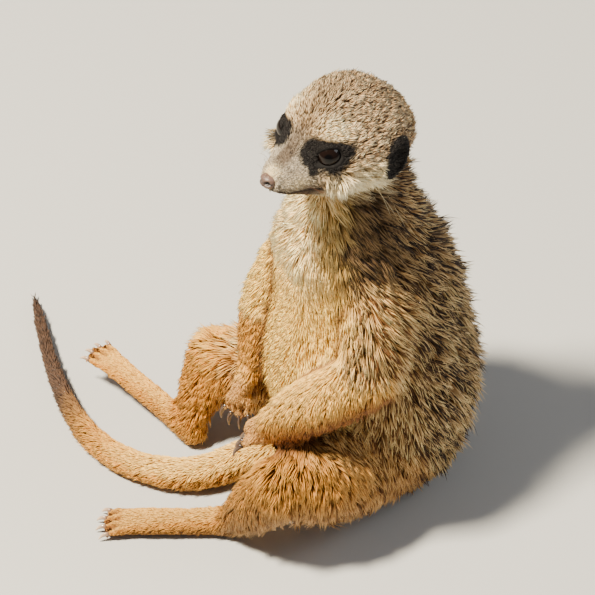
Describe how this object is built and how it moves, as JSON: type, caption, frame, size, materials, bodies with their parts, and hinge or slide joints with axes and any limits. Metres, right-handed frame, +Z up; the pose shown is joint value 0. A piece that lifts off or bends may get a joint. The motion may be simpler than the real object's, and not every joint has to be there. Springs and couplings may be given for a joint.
{
  "type": "meerkat",
  "caption": "Life-size meerkat sitting upright on its rump, legs and tail stretched forward, forepaws on its belly, as a still museum model.",
  "frame": {"origin": "on the floor, on the flat of the rump, under the middle of the seat", "axes": "+Z up; the animal faces -Y; its own left side is +X"},
  "size_m": [0.2334, 0.1843, 0.2285],
  "materials": {
    "fur_grizzled": "grizzled grey-brown coat with pale tips",
    "fur_golden": "golden tan coat",
    "fur_face": "short pale grey-tan coat with dark eye patches",
    "ear_skin": "black, matt",
    "nose_skin": "moist brown skin",
    "eye": "dark, glossy",
    "claw": "dark horn, satin"
  },
  "bodies": {
    "root": {"trunk": "fur_grizzled", "neck": "fur_grizzled", "head": "fur_face", "nose": "nose_skin", "eye_left": "eye", "eye_right": "eye", "ear_left": "ear_skin", "ear_right": "ear_skin", "upper_arm_left": "fur_golden", "upper_arm_right": "fur_golden", "forearm_left": "fur_golden", "forearm_right": "fur_golden", "hand_left": "fur_golden", "hand_right": "fur_golden", "thigh_left": "fur_golden", "thigh_right": "fur_golden", "shank_left": "fur_golden", "shank_right": "fur_golden", "foot_left": "fur_golden", "foot_right": "fur_golden", "tail_base": "fur_golden", "tail_middle": "fur_golden", "tail_tip": "fur_grizzled", "claw_fore_left_1": "claw", "claw_fore_left_2": "claw", "claw_fore_left_3": "claw", "claw_fore_left_4": "claw", "claw_fore_right_1": "claw", "claw_fore_right_2": "claw", "claw_fore_right_3": "claw", "claw_fore_right_4": "claw", "claw_hind_left_1": "claw", "claw_hind_left_2": "claw", "claw_hind_left_3": "claw", "claw_hind_left_4": "claw", "claw_hind_right_1": "claw", "claw_hind_right_2": "claw", "claw_hind_right_3": "claw", "claw_hind_right_4": "claw"}
  },
  "joints": []
}
